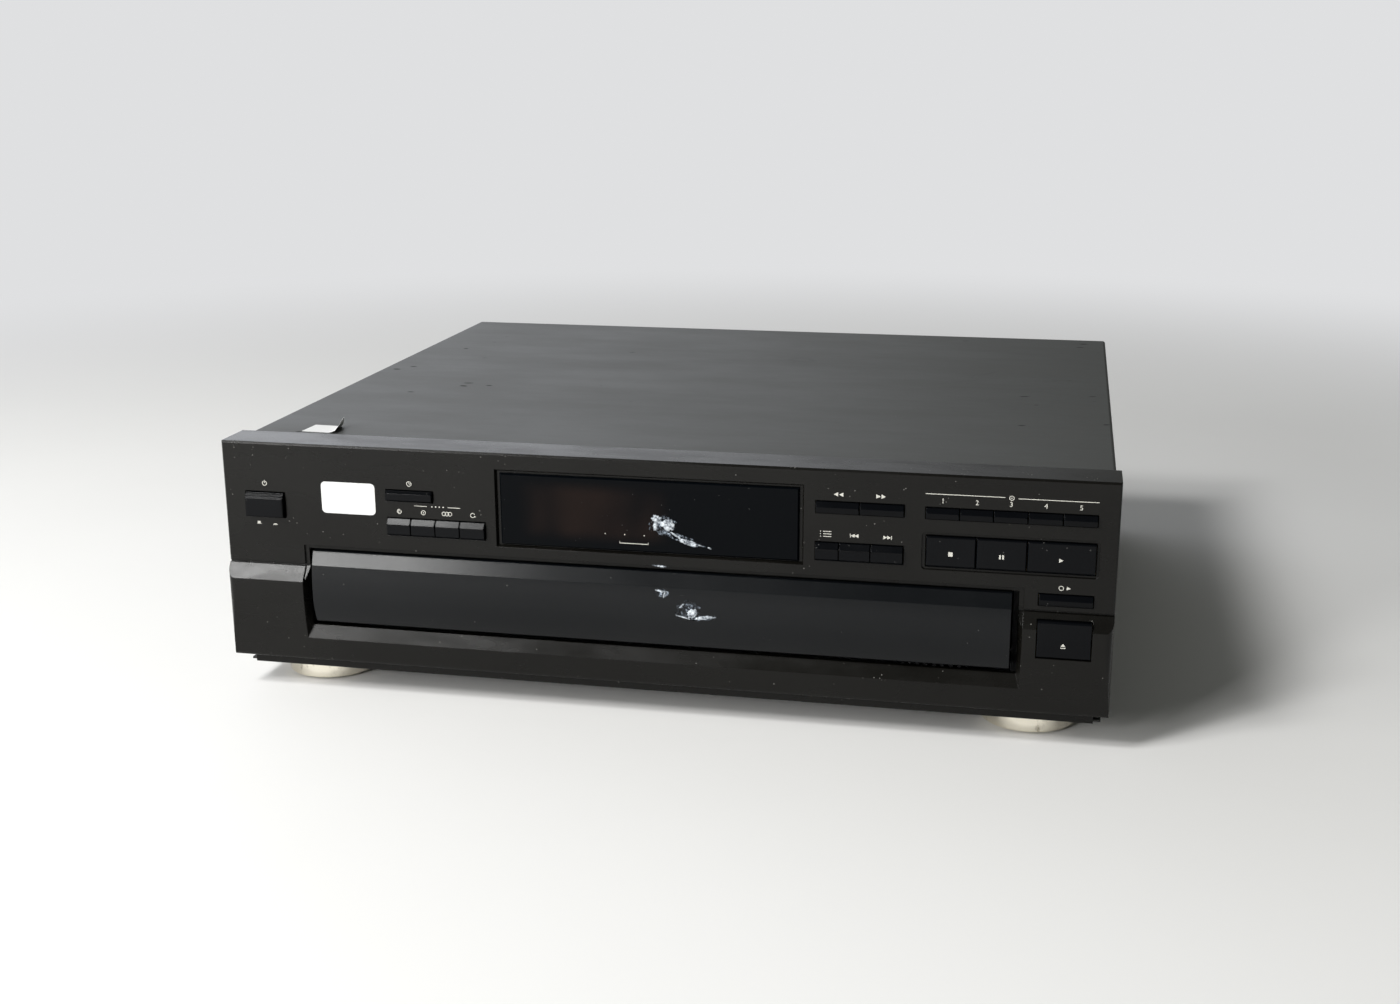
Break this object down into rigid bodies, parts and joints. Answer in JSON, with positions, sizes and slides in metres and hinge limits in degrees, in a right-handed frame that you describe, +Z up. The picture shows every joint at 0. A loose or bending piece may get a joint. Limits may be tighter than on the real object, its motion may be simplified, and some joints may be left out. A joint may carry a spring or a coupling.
{
  "type": "multi disc cd changer",
  "caption": "Front-loading disc changer: a wide low case, a sliding drawer with a rotating carousel of disc pockets, a smoked display window and push buttons.",
  "frame": {"origin": "bottom centre of the whole player, on the surface that it stands on", "axes": "+Z up, -Y the front with the drawer and buttons, +X to the right seen from the front"},
  "size_m": [0.43, 0.3902, 0.1268],
  "materials": {
    "panel_plastic": "fine satin moulding",
    "cover_paint": "satin charcoal paint with a fine grain",
    "plated_steel": "zinc plated sheet",
    "rear_paint": "satin black paint",
    "foot_metal": "bright champagne finish",
    "pad_felt": "soft dark pad",
    "smoked_window": "smoked and polished",
    "display_glass": "dark glass tube",
    "circuit_board": "phenolic board",
    "switch_black": "black moulding",
    "core_steel": "varnished laminations",
    "jack_black": "black moulding",
    "screw_black": "black oxide",
    "grey_moulding": "dark grey moulding",
    "motor_can": "plated can",
    "belt_rubber": "moulded rubber",
    "polished_steel": "polished",
    "gear_plastic": "natural acetal",
    "lens_glass": "coated lens",
    "tray_plastic": "fine spark texture",
    "drawer_gloss": "semi-gloss moulding",
    "button_plastic": "smooth moulding"
  },
  "bodies": {
    "case": {"front_panel": "panel_plastic", "top_cover": "cover_paint", "bottom_chassis": "plated_steel", "rear_panel": "rear_paint", "feet": "foot_metal", "foot_pads": "pad_felt", "display_window": "smoked_window", "display_module": "display_glass", "operation_board": "circuit_board", "tact_switches": "switch_black", "main_board": "circuit_board", "power_transformer": "core_steel", "power_switch": "switch_black", "output_jacks": "jack_black", "ac_inlet": "jack_black", "case_screws": "screw_black", "mechanism_base": "grey_moulding", "loading_motor": "motor_can", "loading_belt": "belt_rubber", "clamper_bridge": "plated_steel", "traverse_base": "plated_steel", "damper_grommets": "belt_rubber", "spindle_motor": "motor_can", "guide_rods": "polished_steel", "feed_motor": "motor_can"},
    "drawer": {"drawer_tray": "tray_plastic", "drawer_front": "drawer_gloss", "carousel_motor": "motor_can"},
    "carousel": {"carousel": "tray_plastic"},
    "carousel_gear": {"carousel_gear": "gear_plastic"},
    "carousel_pinion": {"carousel_pinion": "gear_plastic"},
    "motor_pulley": {"motor_pulley": "gear_plastic"},
    "pulley_gear": {"pulley_gear": "gear_plastic"},
    "drive_gear": {"drive_gear": "gear_plastic"},
    "spindle_hub": {"spindle_hub": "switch_black"},
    "disc_clamper": {"disc_clamper": "gear_plastic"},
    "feed_screw": {"feed_screw": "polished_steel"},
    "pickup": {"pickup": "switch_black", "pickup_lens": "lens_glass"},
    "power_button": {"power_button": "button_plastic"},
    "time_button": {"time_button": "button_plastic"},
    "mode_button_1": {"mode_button_1": "button_plastic"},
    "mode_button_2": {"mode_button_2": "button_plastic"},
    "mode_button_3": {"mode_button_3": "button_plastic"},
    "mode_button_4": {"mode_button_4": "button_plastic"},
    "search_back_button": {"search_back_button": "button_plastic"},
    "search_forward_button": {"search_forward_button": "button_plastic"},
    "program_button": {"program_button": "button_plastic"},
    "skip_back_button": {"skip_back_button": "button_plastic"},
    "skip_forward_button": {"skip_forward_button": "button_plastic"},
    "disc_button_1": {"disc_button_1": "button_plastic"},
    "disc_button_2": {"disc_button_2": "button_plastic"},
    "disc_button_3": {"disc_button_3": "button_plastic"},
    "disc_button_4": {"disc_button_4": "button_plastic"},
    "disc_button_5": {"disc_button_5": "button_plastic"},
    "stop_button": {"stop_button": "button_plastic"},
    "pause_button": {"pause_button": "button_plastic"},
    "play_button": {"play_button": "button_plastic"},
    "disc_skip_button": {"disc_skip_button": "button_plastic"},
    "open_close_button": {"open_close_button": "button_plastic"}
  },
  "joints": [
    {"name": "drawer_slide", "type": "slide", "parent": "case", "child": "drawer", "axis": [0, -1, 0], "range_m": [0, 0.23]},
    {"name": "drive_gear_spin", "type": "hinge", "parent": "case", "child": "drive_gear", "pos_m": [0.1335, -0.14495, 0.033], "axis": [0, 0, 1], "range_deg": [-1060, 0]},
    {"name": "pulley_gear_spin", "type": "hinge", "parent": "case", "child": "pulley_gear", "pos_m": [0.09474, -0.13084, 0.028], "axis": [0, 0, 1], "range_deg": [0, 2820]},
    {"name": "motor_pulley_spin", "type": "hinge", "parent": "case", "child": "motor_pulley", "pos_m": [0.04674, -0.12484, 0.026], "axis": [0, 0, 1], "range_deg": [0, 12890]},
    {"name": "carousel_spin", "type": "hinge", "parent": "drawer", "child": "carousel", "pos_m": [0, -0.01745, 0.05], "axis": [0, 0, 1], "continuous": true},
    {"name": "carousel_gear_spin", "type": "hinge", "parent": "drawer", "child": "carousel_gear", "pos_m": [-0.04581, -0.03412, 0.043], "axis": [0, 0, 1], "continuous": true},
    {"name": "carousel_pinion_spin", "type": "hinge", "parent": "drawer", "child": "carousel_pinion", "pos_m": [-0.05675, -0.06419, 0.042], "axis": [0, 0, 1], "continuous": true},
    {"name": "spindle_spin", "type": "hinge", "parent": "case", "child": "spindle_hub", "pos_m": [0, 0.08555, 0.03], "axis": [0, 0, 1], "continuous": true},
    {"name": "clamper_spin", "type": "hinge", "parent": "case", "child": "disc_clamper", "pos_m": [0, 0.08555, 0.078], "axis": [0, 0, 1], "continuous": true},
    {"name": "pickup_slide", "type": "slide", "parent": "case", "child": "pickup", "axis": [0, -1, 0], "range_m": [0, 0.033]},
    {"name": "feed_screw_spin", "type": "hinge", "parent": "case", "child": "feed_screw", "pos_m": [0.031, 0.04005, 0.0305], "axis": [0, 1, 0], "range_deg": [0, 3970]},
    {"name": "power_press", "type": "slide", "parent": "case", "child": "power_button", "axis": [0, 1, 0], "range_m": [0, 0.0034], "stiffness_N_per_m": 300},
    {"name": "time_press", "type": "slide", "parent": "case", "child": "time_button", "axis": [0, 1, 0], "range_m": [0, 0.001], "stiffness_N_per_m": 400},
    {"name": "mode_1_press", "type": "slide", "parent": "case", "child": "mode_button_1", "axis": [0, 1, 0], "range_m": [0, 0.001], "stiffness_N_per_m": 400},
    {"name": "mode_2_press", "type": "slide", "parent": "case", "child": "mode_button_2", "axis": [0, 1, 0], "range_m": [0, 0.001], "stiffness_N_per_m": 400},
    {"name": "mode_3_press", "type": "slide", "parent": "case", "child": "mode_button_3", "axis": [0, 1, 0], "range_m": [0, 0.001], "stiffness_N_per_m": 400},
    {"name": "mode_4_press", "type": "slide", "parent": "case", "child": "mode_button_4", "axis": [0, 1, 0], "range_m": [0, 0.001], "stiffness_N_per_m": 400},
    {"name": "search_back_press", "type": "slide", "parent": "case", "child": "search_back_button", "axis": [0, 1, 0], "range_m": [0, 0.001], "stiffness_N_per_m": 400},
    {"name": "search_forward_press", "type": "slide", "parent": "case", "child": "search_forward_button", "axis": [0, 1, 0], "range_m": [0, 0.001], "stiffness_N_per_m": 400},
    {"name": "program_press", "type": "slide", "parent": "case", "child": "program_button", "axis": [0, 1, 0], "range_m": [0, 0.001], "stiffness_N_per_m": 400},
    {"name": "skip_back_press", "type": "slide", "parent": "case", "child": "skip_back_button", "axis": [0, 1, 0], "range_m": [0, 0.001], "stiffness_N_per_m": 400},
    {"name": "skip_forward_press", "type": "slide", "parent": "case", "child": "skip_forward_button", "axis": [0, 1, 0], "range_m": [0, 0.001], "stiffness_N_per_m": 400},
    {"name": "disc_1_press", "type": "slide", "parent": "case", "child": "disc_button_1", "axis": [0, 1, 0], "range_m": [0, 0.001], "stiffness_N_per_m": 400},
    {"name": "disc_2_press", "type": "slide", "parent": "case", "child": "disc_button_2", "axis": [0, 1, 0], "range_m": [0, 0.001], "stiffness_N_per_m": 400},
    {"name": "disc_3_press", "type": "slide", "parent": "case", "child": "disc_button_3", "axis": [0, 1, 0], "range_m": [0, 0.001], "stiffness_N_per_m": 400},
    {"name": "disc_4_press", "type": "slide", "parent": "case", "child": "disc_button_4", "axis": [0, 1, 0], "range_m": [0, 0.001], "stiffness_N_per_m": 400},
    {"name": "disc_5_press", "type": "slide", "parent": "case", "child": "disc_button_5", "axis": [0, 1, 0], "range_m": [0, 0.001], "stiffness_N_per_m": 400},
    {"name": "stop_press", "type": "slide", "parent": "case", "child": "stop_button", "axis": [0, 1, 0], "range_m": [0, 0.001], "stiffness_N_per_m": 400},
    {"name": "pause_press", "type": "slide", "parent": "case", "child": "pause_button", "axis": [0, 1, 0], "range_m": [0, 0.001], "stiffness_N_per_m": 400},
    {"name": "play_press", "type": "slide", "parent": "case", "child": "play_button", "axis": [0, 1, 0], "range_m": [0, 0.001], "stiffness_N_per_m": 400},
    {"name": "disc_skip_press", "type": "slide", "parent": "case", "child": "disc_skip_button", "axis": [0, 1, 0], "range_m": [0, 0.001], "stiffness_N_per_m": 400},
    {"name": "open_close_press", "type": "slide", "parent": "case", "child": "open_close_button", "axis": [0, 1, 0], "range_m": [0, 0.001], "stiffness_N_per_m": 400}
  ],
  "couplings": [
    {"joint": "drive_gear_spin", "follows": "drawer_slide", "rad_per_m": -80},
    {"joint": "pulley_gear_spin", "follows": "drawer_slide", "rad_per_m": 213.33},
    {"joint": "motor_pulley_spin", "follows": "drawer_slide", "rad_per_m": 977.51},
    {"joint": "carousel_gear_spin", "follows": "carousel_spin", "ratio": -3.3333},
    {"joint": "carousel_pinion_spin", "follows": "carousel_spin", "ratio": 13.333},
    {"joint": "feed_screw_spin", "follows": "pickup_slide", "rad_per_m": 2094.4}
  ]
}
